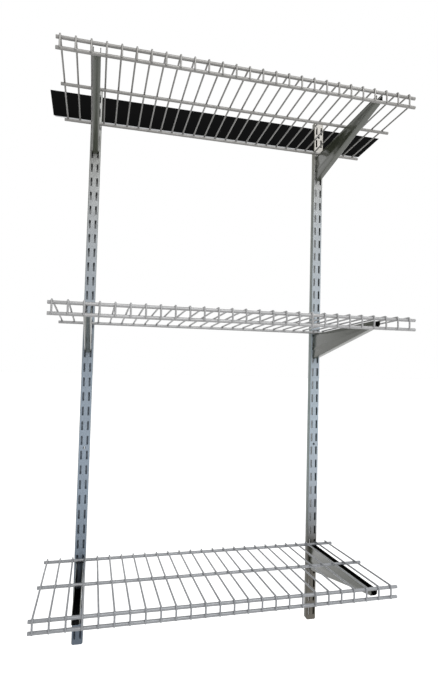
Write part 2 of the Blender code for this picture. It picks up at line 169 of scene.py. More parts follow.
# Rail, cover and screws
COVER_LEFT_SLOPE = 9.0 * MM
COVER_RIGHT_SLOPE = 58.0 * MM
RAIL_SHEET = 1.8 * MM
RAIL_TROUGH_DROP = 9.0 * MM
RAIL_LIP_RISE = 1.0 * MM
RAIL_END_INSET = 3.0 * MM
RAIL_EDGE = 0.5 * MM
STRIP_STATIONS = 25
COVER_WALL = 2.0 * MM
COVER_LEG_WALL = 1.4 * MM
COVER_EDGE = 0.6 * MM
SCREW_NUMBERS = (1, 2, 3, 4)
SCREW_SIDES = 32
SCREW_CROWN_RINGS = 14
SCREW_CROWN_SHARE = 0.62
SCREW_RIM_SHARE = 0.97
SCREW_RIM_HEIGHT = 0.25 * MM
SCREW_RECESS_DEPTH = 1.8 * MM
SCREW_RECESS_REACH_SHARE = 0.55
SCREW_RECESS_NARROWING = 6
SCREW_PLAIN_LENGTH = 5.0 * MM
SCREW_THREAD_RINGS = 130
SCREW_THREAD_SHARPNESS = 3.2
SCREW_THREAD_RUN_IN = 2.0 * MM
SCREW_POINT_GAP = 0.2 * MM
SCREW_SHANK_RADIUS = 2.4 * MM
SCREW_HOLE_RADIUS = 2.7 * MM
SCREW_HEAD_HEIGHT = 3.2 * MM
SCREW_THREAD_DEPTH = 0.75 * MM
SCREW_THREAD_PITCH = 2.2 * MM
SCREW_TIP = 6.0 * MM

# Coats: swells of noise to a metre, the depth of their relief, and the values that noise mostly lies between
MOTTLE_SCALE = 9.0
SHEEN_SCALE = 55.0
PEEL_SCALE = 700.0
FLECK_SCALE = 1400.0
PEEL_DEPTH = 0.04 * MM
NOISE_LOW = 0.3
NOISE_HIGH = 0.7
FLECK_LOW = 0.35
SATIN_METALLIC = 0.2

# Decks' coat: darkest and lightest tone for each level; how the levels differ, the top warmer, the middle
# paler, the bottom bluer, is painted light and shade
DECK_TONES_WITH_PAINTED_LIGHT = {
    "top": ((0.27, 0.263, 0.25), (0.34, 0.333, 0.32)),
    "middle": ((0.38, 0.38, 0.382), (0.46, 0.46, 0.463)),
    "bottom": ((0.28, 0.29, 0.305), (0.35, 0.362, 0.38)),
}
DECK_FLECK = 0.15
DECK_ROUGHNESS = 0.36
DECK_SHEEN_SHARES = (0.82, 1.2)
DECK_IOR = 1.5

# Brackets' enamel, and the near-black, dull, fully metallic faces between their walls
OLIVE_TONES = ((0.057, 0.064, 0.043), (0.079, 0.088, 0.061))
OLIVE_ROUGHNESS = 0.17
OLIVE_IOR = 1.7
OLIVE_PEEL_DEPTH = 0.002 * MM
INSIDE_NEAR_BLACK_TONE = (0.004, 0.004, 0.004)
INSIDE_ROUGHNESS = 0.7

# Uprights' coat: its tone at heights in metres, a painted gradient of light, shade and reflection, dark and
# brown at the foot, pale and bluish in the middle, neutral at the top, the right upright paler than the left;
# how much darker its mottle and flecks are; and the painted shade on its sides
UPRIGHT_PAINTED_LIGHT_TONES = {
    "left": (
        (-1.15, (0.13, 0.165, 0.215)), (-1.0, (0.26, 0.32, 0.39)), (-0.8, (0.385, 0.465, 0.56)),
        (-0.6, (0.4, 0.475, 0.56)), (-0.25, (0.4, 0.42, 0.43)), (-0.1, (0.37, 0.375, 0.36)),
    ),
    "right": (
        (-1.16, (0.135, 0.122, 0.098)), (-1.0, (0.15, 0.14, 0.12)), (-0.96, (0.26, 0.27, 0.28)),
        (-0.88, (0.43, 0.48, 0.54)), (-0.7, (0.56, 0.66, 0.75)), (-0.2, (0.44, 0.47, 0.49)),
        (-0.02, (0.5, 0.48, 0.44)),
    ),
}
UPRIGHT_MOTTLE = 0.88
UPRIGHT_FLECK = 0.8
# painted shade on the uprights' sides
UPRIGHT_SIDE_PAINTED_SHADE = (0.62, 0.64, 0.56)
UPRIGHT_ROUGHNESS = 0.38
UPRIGHT_SHEEN = (0.31, 0.46)

# Cover's plastic
PLASTIC_TONES = ((0.002, 0.002, 0.002), (0.0038, 0.004, 0.0042))
PLASTIC_TONES_END = 0.72
PLASTIC_ROUGHNESS = 0.5
PLASTIC_SHEEN = (0.42, 0.6)
PLASTIC_SPECULAR = 0.02
SMEAR_SCALE = 30.0
SMEAR_STRETCH = (0.15, 1, 1)
GRAIN_SCALE = 2200.0
GRAIN_DEPTH = 0.03 * MM

# Rail's strip steel
RAIL_TONES = ((0.36, 0.37, 0.38), (0.46, 0.47, 0.48))
RAIL_TONES_END = 0.65
RAIL_STREAK = (0.85, 1.05)
RAIL_ROUGHNESS = 0.4
RAIL_METALLIC = 0.9
RAIL_SHEEN = (0.32, 0.5)
SPANGLE_SCALE = 120.0
STREAK_SCALE = 420.0
STREAK_STRETCH = (0.02, 1, 1)
STREAK_DEPTH = 0.02 * MM

# Screws' plating
ZINC_TONES = ((0.45, 0.45, 0.43), (0.66, 0.66, 0.64))
ZINC_ROUGHNESS = 0.3
ZINC_SHEEN = (0.24, 0.42)
PATCH_SCALE = 260.0
PLATING_SCALE = 900.0
PLATING_DEPTH = 0.01 * MM


def quads(rows, columns, wrapped=False):
    """Four-sided faces of a grid numbered row by row; a wrapped grid joins its last column to its first."""
    i, j = np.meshgrid(np.arange(rows - 1), np.arange(columns - (not wrapped)), indexing="ij")
    row = i * columns
    after = (j + 1) % columns
    return np.stack([row + j, row + after, row + columns + after, row + columns + j], -1).reshape(-1, 4)


class Shape:
    """Points and faces gathered from several surfaces."""

    def __init__(self):
        self.points = []
        self.faces = []
        self.count = 0

    def add(self, points, faces):
        """Adds points, and faces that number them from 0."""
        points = np.asarray(points, float).reshape(-1, 3)
        self.points.append(points)
        self.faces += [[int(corner) + self.count for corner in face] for face in faces]
        self.count += len(points)

    def polygon(self, points):
        """One face with as many corners as it has points."""
        self.add(points, [list(range(len(points)))])

    def mesh(self, name, weld=0.0):
        """The shape as a mesh. Points nearer than the weld distance become one, and faces turn outwards."""
        made = bpy.data.meshes.new(name)
        made.from_pydata(np.concatenate(self.points).tolist(), [], self.faces)
        shell = bmesh.new()
        shell.from_mesh(made)
        if weld:
            bmesh.ops.remove_doubles(shell, verts=shell.verts, dist=weld)
        bmesh.ops.recalc_face_normals(shell, faces=shell.faces)
        shell.to_mesh(made)
        shell.free()
        return made


def add_piece(name, mesh, finish, body, nodes=()):
    """A named object that rides on a body, with its finish and the nodes that it stands for."""
    piece = bpy.data.objects.new(name, mesh)
    bpy.context.scene.collection.objects.link(piece)
    mesh.materials.append(finish)
    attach(piece, body)
    if nodes:
        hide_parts(*nodes)
    return piece


def settle(piece):
    """Puts the piece's modifiers into its mesh and shades it smooth between its sharp edges."""
    bpy.context.view_layer.update()
    if piece.modifiers:
        graph = bpy.context.evaluated_depsgraph_get()
        made = bpy.data.meshes.new_from_object(piece.evaluated_get(graph))
        piece.modifiers.clear()
        piece.data = made
    piece.data.shade_smooth()
    piece.data.set_sharp_from_angle(angle=SMOOTH_ANGLE)


def round_bar(path, radius, sides, across):
    """A round bar along a path in one plane.

    Each path point carries a circle, centre + radius (cos a side + sin a across), where across is square to
    the path's plane and side is square to both. At the ends the bar draws in along a quarter circle.
    """
    path = np.asarray(path, float)
    across = np.asarray(across, float)
    turn = np.linspace(0, np.pi / 2, CUT_STEPS)
    reach = CUT_ROUNDING * (1 - np.cos(turn))
    first = path[1] - path[0]
    last = path[-1] - path[-2]
    first /= np.linalg.norm(first)
    last /= np.linalg.norm(last)
    centres = np.concatenate([
        path[0] + reach[:, None] * first,
        path[1:-1],
        path[-1] - reach[::-1, None] * last,
    ])
    drawn_in = radius - CUT_ROUNDING * (1 - np.sin(turn))
    radii = np.concatenate([drawn_in, np.full(len(path) - 2, radius), drawn_in[::-1]])
    heading = np.gradient(centres, axis=0)
    heading[:CUT_STEPS] = first
    heading[-CUT_STEPS:] = last
    side = np.cross(across, heading)
    side /= np.linalg.norm(side, axis=1, keepdims=True)
    angle = np.arange(sides) * 2 * np.pi / sides
    circle = np.cos(angle)[None, :, None] * side[:, None] + np.sin(angle)[None, :, None] * across
    return centres[:, None] + radii[:, None, None] * circle


def add_bars(shape, rings, places):
    """Adds a capped bar, given as rings of points, once at each of the places."""
    count, sides = rings.shape[:2]
    skin = quads(count, sides, wrapped=True)
    for place in places:
        shape.add(rings + np.asarray(place), skin)
        shape.polygon(rings[0] + np.asarray(place))
        shape.polygon(rings[-1] + np.asarray(place))


def deck_line(offset):
    """Height of the rods' centre line above the upper hook's seat, at a distance in front of the uprights."""
    return DECK_RISE + (offset - BACK_ROD_OFFSET) * math.tan(DECK_TILT)


LIP_OFFSET = BACK_ROD_OFFSET + 2 * ROD_SPACING
UPRIGHT_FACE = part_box("upright_left")[0].y


def nose_offset():
    """Distance from the uprights' face to a bracket's nose, just short of the solids' many-sided rod."""
    return LIP_OFFSET - ROD_RADIUS / math.cos(math.pi / SOLID_ROD_SIDES) - BRACKET_NOSE_GAP


def deck_seat(level):
    """Height of the slot edges that carry a level's upper hooks, from the top of its brackets' noses."""
    nose_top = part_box(f"bracket_{level}_left")[1].z
    return nose_top + ROD_RADIUS + SEAT_GAP - deck_line(nose_offset())


def deck_point(seat, offset, lift):
    """Depth and height of a point in front of the uprights' face, lifted square to the deck's slope."""
    y = UPRIGHT_FACE - offset + lift * math.sin(DECK_TILT)
    return y, seat + deck_line(offset) + lift * math.cos(DECK_TILT)


def wire_path(seat, bent):
    """Centre line of a cross wire at x = 0: along the deck, then round a bend and down past the lip rod."""
    lift = ROD_RADIUS + WIRE_RADIUS - WELD_BITE
    back = BACK_ROD_OFFSET - WIRE_BACK_OVERHANG
    if not bent:
        ends = [deck_point(seat, back, lift), deck_point(seat, CLIPPED_WIRE_REACH, lift)]
        return np.array([(0, *ends[0]), (0, *np.mean(ends, axis=0)), (0, *ends[1])])
    bend = deck_point(seat, LIP_OFFSET + lift - WIRE_BEND_RADIUS, lift - WIRE_BEND_RADIUS)
    angle = np.linspace(math.pi / 2 - DECK_TILT, math.pi, WIRE_BEND_STEPS)
    turn = np.stack([
        np.zeros(WIRE_BEND_STEPS),
        bend[0] + WIRE_BEND_RADIUS * np.cos(angle),
        bend[1] + WIRE_BEND_RADIUS * np.sin(angle),
    ], -1)
    tail = seat + deck_line(LIP_OFFSET) - LIP_DROP - WIRE_TAIL
    return np.concatenate([[(0, *deck_point(seat, back, lift))], turn, [(0, turn[-1, 1], tail)]])


def bead(across, along, height):
    """A lump of weld: the ellipsoid (across cos u sin v, along sin u sin v, height cos v), poles closed."""
    u = np.arange(BEAD_SIDES) * 2 * np.pi / BEAD_SIDES
    v = np.linspace(0, np.pi, BEAD_BELTS + 2)[1:-1]
    u, v = np.meshgrid(u, v)
    belt = np.stack([across * np.cos(u) * np.sin(v), along * np.sin(u) * np.sin(v), height * np.cos(v)], -1)
    points = np.concatenate([belt.reshape(-1, 3), [(0, 0, height), (0, 0, -height)]])
    faces = quads(BEAD_BELTS, BEAD_SIDES, wrapped=True).tolist()
    top = BEAD_BELTS * BEAD_SIDES
    last = top - BEAD_SIDES
    for i in range(BEAD_SIDES):
        after = (i + 1) % BEAD_SIDES
        faces += [[after, i, top], [last + i, last + after, top + 1]]
    return points, faces


def make_deck(level, finish):
    """Four round rods, the cross wires over them, and a bead of weld wherever a wire crosses a rod."""
    node = f"deck_{level}"
    low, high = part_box(node)
    seat = deck_seat(level)
    left, right = low.x, high.x
    count = round((right - left - DECK_LEFT_MARGIN - DECK_RIGHT_MARGIN) / WIRE_PITCH) + 1
    clipped = level == CLIPPED_LEVEL
    short_right = right - WIRE_PITCH if clipped else right
    wires = left + DECK_LEFT_MARGIN + np.arange(count) * WIRE_PITCH
    bent = wires[:-1] if clipped else wires

    rods = Shape()
    rows = (
        (BACK_ROD_OFFSET, 0, right),
        (BACK_ROD_OFFSET + ROD_SPACING, 0, right),
        (LIP_OFFSET, 0, short_right),
        (LIP_OFFSET, LIP_DROP, short_right),
    )
    for offset, drop, end in rows:
        y, z = UPRIGHT_FACE - offset, seat + deck_line(offset) - drop
        path = np.linspace((left, y, z), (end, y, z), ROD_STATIONS)
        add_bars(rods, round_bar(path, ROD_RADIUS, ROD_SIDES, (0, 0, 1)), [(0, 0, 0)])
    settle(add_piece(f"{node}_rods", rods.mesh(f"{node}_rods"), finish, node, [node]))

    bars = Shape()
    turned_down = round_bar(wire_path(seat, True), WIRE_RADIUS, WIRE_SIDES, (1, 0, 0))
    add_bars(bars, turned_down, [(x, 0, 0) for x in bent])
    if clipped:
        flat = round_bar(wire_path(seat, False), WIRE_RADIUS, WIRE_SIDES, (1, 0, 0))
        add_bars(bars, flat, [(wires[-1], 0, 0)])
    settle(add_piece(f"{node}_wires", bars.mesh(f"{node}_wires"), finish, node))

    welds = Shape()
    lump, faces = bead(BEAD_ACROSS, BEAD_ALONG, BEAD_HEIGHT)
    for offset, xs in ((rows[0][0], wires), (rows[1][0], wires), (LIP_OFFSET, bent)):
        y, z = deck_point(seat, offset, ROD_RADIUS - WELD_BITE / 2)
        for x in xs:
            welds.add(lump + (x, y, z), faces)
    lump, faces = bead(BEAD_ACROSS, BEAD_HEIGHT, BEAD_ALONG)
    y = UPRIGHT_FACE - LIP_OFFSET - ROD_RADIUS + WELD_BITE / 2
    z = seat + deck_line(LIP_OFFSET) - LIP_DROP
    for x in bent:
        welds.add(lump + (x, y, z), faces)
    settle(add_piece(f"{node}_welds", welds.mesh(f"{node}_welds"), finish, node))


def arc(centre, radius, start, end, steps):
    """Points on a circular arc in a plane, ends included, the angles in degrees from the first axis."""
    angle = np.radians(np.linspace(start, end, steps + 1))
    return np.stack([centre[0] + radius * np.cos(angle), centre[1] + radius * np.sin(angle)], -1)


def keel_height(offset):
    """The bracket's lower edge above the seat, straight from root to nose."""
    root = SEAT_GAP
    nose = nose_offset()
    root_height = deck_line(root) - BRACKET_ROOT_DEPTH
    nose_height = deck_line(nose) - BRACKET_NOSE_DEPTH
    return root_height + (nose_height - root_height) * (offset - root) / (nose - root)


def hook_outline(base, neck):
    """A hook's outline as offsets and heights: back through the slot, round a corner, down to a round tip."""
    front = -(UPRIGHT_SHEET + SEAT_GAP)
    back = front - HOOK_THICKNESS
    corner = (back + HOOK_CORNER, base + neck - HOOK_CORNER)
    tip = base - HOOK_DROP + HOOK_TIP
    return np.concatenate([
        [(SEAT_GAP, base + neck)],
        arc(corner, HOOK_CORNER, 90, 180, FOLD_STEPS),
        arc((back + HOOK_TIP, tip), HOOK_TIP, 180, 270, HOOK_TIP_STEPS),
        arc((front - HOOK_TIP, tip), HOOK_TIP, 270, 360, HOOK_TIP_STEPS),
        arc((front + HOOK_TIP, base - HOOK_TIP), HOOK_TIP, 180, 90, HOOK_TIP_STEPS),
        [(SEAT_GAP, base)],
    ])


def make_bracket(level, side, finish):
    """A folded channel from one sheet: two walls with hooks, and a floor that follows the keel.

    The middle of the sheet is a strip of stations along the keel, each a U of two quarter circles and a flat.
    Each wall is one face whose lower edge has the strip's own points. The sheet is then given its thickness.
    """
    node = f"bracket_{level}_{side}"
    low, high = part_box(node)
    middle = (low.x + high.x) / 2
    half = (high.x - low.x) / 2
    seat = deck_seat(level)
    root, nose = SEAT_GAP, nose_offset()
    crest = ROD_RADIUS + SEAT_GAP
    stations = np.linspace(root, nose - BRACKET_NOSE_RADIUS, KEEL_STATIONS)
    keel = keel_height(stations)

    fold = BRACKET_FOLD_RADIUS - BRACKET_SHEET / 2
    inner = half - BRACKET_FOLD_RADIUS
    section = np.concatenate([
        arc((-inner, BRACKET_FOLD_RADIUS), fold, 180, 270, FOLD_STEPS),
        arc((inner, BRACKET_FOLD_RADIUS), fold, 270, 360, FOLD_STEPS),
    ])
    strip = np.empty((len(stations), len(section), 3))
    strip[..., 0] = middle + section[:, 0]
    strip[..., 1] = UPRIGHT_FACE - stations[:, None]
    strip[..., 2] = seat + keel[:, None] + section[:, 1]

    lower = np.stack([stations, keel + BRACKET_FOLD_RADIUS], -1)
    corner = (nose - BRACKET_NOSE_RADIUS, lower[-1, 1] + BRACKET_NOSE_RADIUS)
    curve = arc(corner, BRACKET_NOSE_RADIUS, 270, 360, FOLD_STEPS)[1:]
    outline = [lower, curve, [(nose, deck_line(nose) - crest)]]
    neck = deck_line(root) - crest - SEAT_GAP
    for hook in range(HOOK_COUNT):
        outline.append(hook_outline(SEAT_GAP - hook * SLOT_PITCH, neck))
    outline = np.concatenate(outline)

    sheet = Shape()
    sheet.add(strip, quads(*strip.shape[:2]))
    for end in (-1, 1):
        x = np.full(len(outline), middle + end * (half - BRACKET_SHEET / 2))
        sheet.polygon(np.stack([x, UPRIGHT_FACE - outline[:, 0], seat + outline[:, 1]], -1))
    mesh = sheet.mesh(f"{node}_channel", weld=SHEET_MERGE)
    piece = add_piece(f"{node}_channel", mesh, finish, node, [node])
    thicken(piece, BRACKET_SHEET)
    soften(piece, BRACKET_EDGE)
    settle(piece)
    centre = face_values(piece, "center")
    normal = face_values(piece, "normal")
    across = centre[:, 0] - middle
    near = np.abs(across) < half - BRACKET_SHEET + SEAT_GAP
    mark(piece, "inside", near & ((normal[:, 2] > LOOKING_UP) | (across * normal[:, 0] < 0)))


def face_values(piece, name):
    """The centres or normals of a piece's faces, one row for each face."""
    faces = piece.data.polygons
    values = np.empty(len(faces) * 3, np.float32)
    faces.foreach_get(name, values)
    return values.reshape(-1, 3)


def mark(piece, name, chosen):
    """Gives the chosen faces 1 and the others 0 in an attribute that the finish reads."""
    layer = piece.data.attributes.new(name, "FLOAT", "FACE")
    layer.data.foreach_set("value", chosen.astype(np.float32))


def thicken(piece, thickness):
    """Gives a sheet its thickness, half to each side."""
    modifier = piece.modifiers.new("sheet", "SOLIDIFY")
    modifier.thickness = thickness
    modifier.offset = 0
    modifier.use_even_offset = True


def soften(piece, width, segments=2):
    """Rounds the piece's sharp edges."""
    modifier = piece.modifiers.new("edges", "BEVEL")
    modifier.width = width
    modifier.segments = segments
    modifier.limit_method = "ANGLE"
    modifier.angle_limit = SOFTENED_ANGLE
    modifier.use_clamp_overlap = True


def prism(outline, near, far, axis):
    """A closed bar: a flat outline carried along X (axis 0) or Y (axis 1) between two depths."""
    outline = np.asarray(outline, float)
    ends = [np.insert(outline, axis, depth, axis=1) for depth in (near, far)]
    shape = Shape()
    shape.add(np.stack(ends), quads(2, len(outline), wrapped=True))
    shape.polygon(ends[0])
    shape.polygon(ends[1])
    return shape


def cut(piece, name, shapes):
    """Takes the shapes out of the piece."""
    joined = Shape()
    for shape in shapes:
        joined.add(np.concatenate(shape.points), shape.faces)
    tool = bpy.data.objects.new(name, joined.mesh(name, weld=CUTTER_MERGE))
    bpy.context.scene.collection.objects.link(tool)
    modifier = piece.modifiers.new(name, "BOOLEAN")
    modifier.operation = "DIFFERENCE"
    modifier.solver = "EXACT"
    modifier.object = tool
    settle(piece)
    bpy.data.objects.remove(tool)


def slot_ring(half_width, half_height, radius):
    """A cell's points round a rounded rectangle, six to a side, from the middle of its lower left corner."""
    share = np.array(RING_CENTRE_SHARES)
    points = []
    reaches = ((half_width, half_height), (half_height, half_width)) * 2
    for quarter, (along, out) in enumerate(reaches):
        angle = RING_LEANS + np.radians(270 + 90 * quarter)
        turned = np.radians(90 * quarter)
        centre = np.stack([share * (along - radius), np.full(CELL_STEPS, radius - out)], -1)
        spin = np.array([[np.cos(turned), np.sin(turned)], [-np.sin(turned), np.cos(turned)]])
        points.append(centre @ spin + radius * np.stack([np.cos(angle), np.sin(angle)], -1))
    return np.concatenate(points)


def hole_ring(radius):
    """A cell's points round a circle, from its lower left."""
    angle = np.radians(RING_START + 360 / CELL_POINTS * np.arange(CELL_POINTS))
    return radius * np.stack([np.cos(angle), np.sin(angle)], -1)


def cell_ring(xs, zs):
    """The edge of a cell of seven by seven stations, from its lower left corner."""
    return np.concatenate([
        np.stack([xs[:-1], np.full(CELL_STEPS, zs[0])], -1),
        np.stack([np.full(CELL_STEPS, xs[-1]), zs[:-1]], -1),
        np.stack([xs[:0:-1], np.full(CELL_STEPS, zs[-1])], -1),
        np.stack([np.full(CELL_STEPS, xs[0]), zs[:0:-1]], -1),
    ])


def add_cell(sheet, xs, zs, opening, y):
    """A flat cell of the face with an opening in it: the ring of its edge joined to the opening's ring."""
    rings = np.stack([cell_ring(xs, zs), opening])
    points = np.insert(rings, 1, y, axis=-1)
    sheet.add(points, quads(2, CELL_POINTS, wrapped=True))


def upright_stations(foot, top):
    """Heights of the slots' centres and of the sheet's rows, six to a slot, which cells and strips share."""
    steps = np.array(CELL_ROW_SHARES) * SLOT_PITCH
    centres = foot + UPRIGHT_END_MARGIN + np.arange(SLOT_ROWS) * SLOT_PITCH
    rows = (centres[:, None] + steps).ravel()
    return centres, np.concatenate([[foot], rows, [centres[-1] + SLOT_PITCH / 2, top]])


def make_upright(side, finish):
    """A rolled section from one sheet: slotted face, two sides, two returns and the seam between them."""
    node = f"upright_{side}"
    low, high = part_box(node)
    middle = (low.x + high.x) / 2
    half = (high.x - low.x) / 2
    skin = UPRIGHT_SHEET / 2
    fold = UPRIGHT_FOLD_RADIUS - skin
    bend = half - UPRIGHT_FOLD_RADIUS
    back, front = high.y, low.y
    centres, rows = upright_stations(low.z, high.z)
    face_y = front + skin

    flank = np.concatenate([
        [(-UPRIGHT_SEAM / 2, back - skin), (-bend / 2, back - skin)],
        arc((-bend, back - UPRIGHT_FOLD_RADIUS), fold, 90, 180, UPRIGHT_FOLD_STEPS),
        arc((-bend, front + UPRIGHT_FOLD_RADIUS), fold, 180, 270, UPRIGHT_FOLD_STEPS),
    ])
    column = SLOT_COLUMN_SPACING / 2
    cell = SLOT_CELL_HALF
    face_edge = column + cell
    sheet = Shape()
    for mirror in (-1, 1):
        plan = np.concatenate([flank, [(-face_edge, face_y)]]) * (-mirror, 1)
        points = np.empty((len(rows), len(plan), 3))
        points[..., 0] = middle + plan[:, 0]
        points[..., 1] = plan[:, 1]
        points[..., 2] = rows[:, None]
        sheet.add(points, quads(*points.shape[:2]))

    slot = slot_ring(SLOT_WIDTH / 2, SLOT_HEIGHT / 2, SLOT_CORNER)
    ends = ((rows[0], rows[1]), (rows[-2], rows[-1]))
    for mirror in (-1, 1):
        x = middle + mirror * column
        xs = np.linspace(x - cell, x + cell, CELL_STEPS + 1)
        for i, z in enumerate(centres):
            start = 1 + CELL_STEPS * i
            add_cell(sheet, xs, rows[start:start + CELL_STEPS + 1], slot + (x, z), face_y)
        for pair in ends:
            add_plain(sheet, xs, pair, face_y)
    xs = np.linspace(middle - column + cell, middle + column - cell, CELL_STEPS + 1)
    hole_rows = []
    for count in SLOTS_BELOW_HOLES:
        between = 1 + CELL_STEPS * count
        start = between - CELL_STEPS // 2
        hole_rows += list(range(start, start + CELL_STEPS))
        hole = hole_ring(HOLE_RADIUS) + (middle, rows[between])
        add_cell(sheet, xs, rows[start:start + CELL_STEPS + 1], hole, face_y)
    for i in range(len(rows) - 1):
        if i not in hole_rows:
            add_plain(sheet, xs, rows[i:i + 2], face_y)

    mesh = sheet.mesh(f"{node}_channel", weld=SHEET_MERGE)
    piece = add_piece(f"{node}_channel", mesh, finish, "frame", [node])
    thicken(piece, UPRIGHT_SHEET)
    settle(piece)
    cut(piece, f"{node}_cuts", upright_cuts(middle, half, low.z))
    soften(piece, UPRIGHT_EDGE, segments=1)
    settle(piece)
    # faces that look aside carry the coat's painted shade
    mark(piece, "side", np.abs(face_values(piece, "normal")[:, 0]) > LOOKING_ASIDE)


def add_plain(sheet, xs, zs, y):
    """A flat strip of the face with no opening."""
    grid = np.empty((len(zs), len(xs), 3))
    grid[..., 0] = xs
    grid[..., 1] = y
    grid[..., 2] = np.asarray(zs)[:, None]
    sheet.add(grid, quads(len(zs), len(xs)))


def upright_cuts(middle, half, foot):
    """What is cut from an upright: room for the rail under a tooth behind its lip, and two foot corners."""
    over = CUT_OVERRUN
    rail_low, rail_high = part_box("hang_rail")
    cover_low, cover_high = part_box("rail_cover")
    lip_top = rail_high.z + SEAT_GAP
    plate_top = lip_top - RAIL_LIP_RISE
    front = cover_low.y - NOTCH_GAP
    bottom = cover_low.z - NOTCH_GAP
    lip_front = rail_low.y - SEAT_GAP / 2
    tooth_front = rail_low.y + RAIL_SHEET + SEAT_GAP
    tooth_back = -RAIL_SHEET - SEAT_GAP
    tooth_end = lip_top - TOOTH_DROP
    notch = [
        (over, bottom), (front, bottom), (front, cover_high.z + SEAT_GAP),
        (lip_front, cover_high.z + SEAT_GAP), (lip_front, lip_top), (tooth_front, lip_top),
        (tooth_front, tooth_end), (tooth_back, tooth_end), (tooth_back, plate_top), (over, plate_top),
    ]
    shapes = [prism(notch, middle - half - over, middle + half + over, 0)]
    radius = UPRIGHT_FOOT_RADIUS
    for mirror in (-1, 1):
        curve = arc((half - radius, foot + radius), radius, -90, 0, UPRIGHT_FOOT_STEPS)
        outside = [(half + over, foot + radius), (half + over, foot - over), (half - radius, foot - over)]
        outline = np.concatenate([curve, outside])
        outline = outline * (mirror, 1) + (middle, 0)
        shapes.append(prism(outline, UPRIGHT_FACE - over, over, 1))
    return shapes


def strip_piece(name, section, inset, finish, nodes):
    """A flat outline in depth and height carried along the rail, its ends sloped as the cover's ends are."""
    low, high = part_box("rail_cover")
    height = high.z - low.z
    section = np.asarray(section, float)
    fall = (high.z - section[:, 1]) / height
    start = low.x + COVER_LEFT_SLOPE * fall + inset
    end = high.x - COVER_RIGHT_SLOPE * fall - inset
    share = np.linspace(0, 1, STRIP_STATIONS)[:, None]
    points = np.empty((STRIP_STATIONS, len(section), 3))
    points[..., 0] = start + (end - start) * share
    points[..., 1] = section[:, 0]
    points[..., 2] = section[:, 1]
    shape = Shape()
    shape.add(points, quads(STRIP_STATIONS, len(section), wrapped=True))
    shape.polygon(points[0])
    shape.polygon(points[-1])
    return add_piece(name, shape.mesh(name), finish, "frame", nodes)


def make_rail(finish):
    """The rail: a back plate whose flanges end in lips that stand up, with a hole for each screw."""
    low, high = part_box("hang_rail")
    top, bottom, front = high.z - RAIL_LIP_RISE, low.z, low.y
    inner = -RAIL_SHEET
    lip = front + RAIL_SHEET
    trough = top - RAIL_TROUGH_DROP
    section = [
        (0, bottom), (0, top), (inner, top), (inner, trough + RAIL_SHEET), (lip, trough + RAIL_SHEET),
        (lip, high.z), (front, high.z), (front, trough), (inner, trough), (inner, bottom + RAIL_SHEET),
        (lip, bottom + RAIL_SHEET), (lip, bottom + RAIL_TROUGH_DROP), (front, bottom + RAIL_TROUGH_DROP),
        (front, bottom),
    ]
    piece = strip_piece("hang_rail_section", section, RAIL_END_INSET, finish, ["hang_rail"])
    holes = []
    for x in screw_places():
        outline = hole_ring(SCREW_HOLE_RADIUS) + (x, 0)
        holes.append(prism(outline, -RAIL_SHEET - CUT_OVERRUN, CUT_OVERRUN, 1))
    soften(piece, RAIL_EDGE, segments=3)
    settle(piece)
    cut(piece, "rail_holes", holes)


def make_cover(finish):
    """The cover: a flat strip with rounded edges and two legs that grip between the rail's lips."""
    low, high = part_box("rail_cover")
    rail_low, rail_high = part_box("hang_rail")
    front = low.y
    back = front + COVER_WALL
    leg_end = high.y
    upper = rail_high.z - RAIL_LIP_RISE - RAIL_TROUGH_DROP - SEAT_GAP
    lower = rail_low.z + RAIL_TROUGH_DROP + SEAT_GAP
    section = [
        (front, low.z), (front, high.z), (back, high.z), (back, upper), (leg_end, upper),
        (leg_end, upper - COVER_LEG_WALL), (back, upper - COVER_LEG_WALL), (back, lower + COVER_LEG_WALL),
        (leg_end, lower + COVER_LEG_WALL), (leg_end, lower), (back, lower), (back, low.z),
    ]
    piece = strip_piece("rail_cover_strip", section, 0, finish, ["rail_cover"])
    soften(piece, COVER_EDGE, segments=4)
    settle(piece)


def screw_places():
    """How far right each screw's axis lies."""
    boxes = [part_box(f"rail_screw_{number}") for number in SCREW_NUMBERS]
    return [(low.x + high.x) / 2 for low, high in boxes]


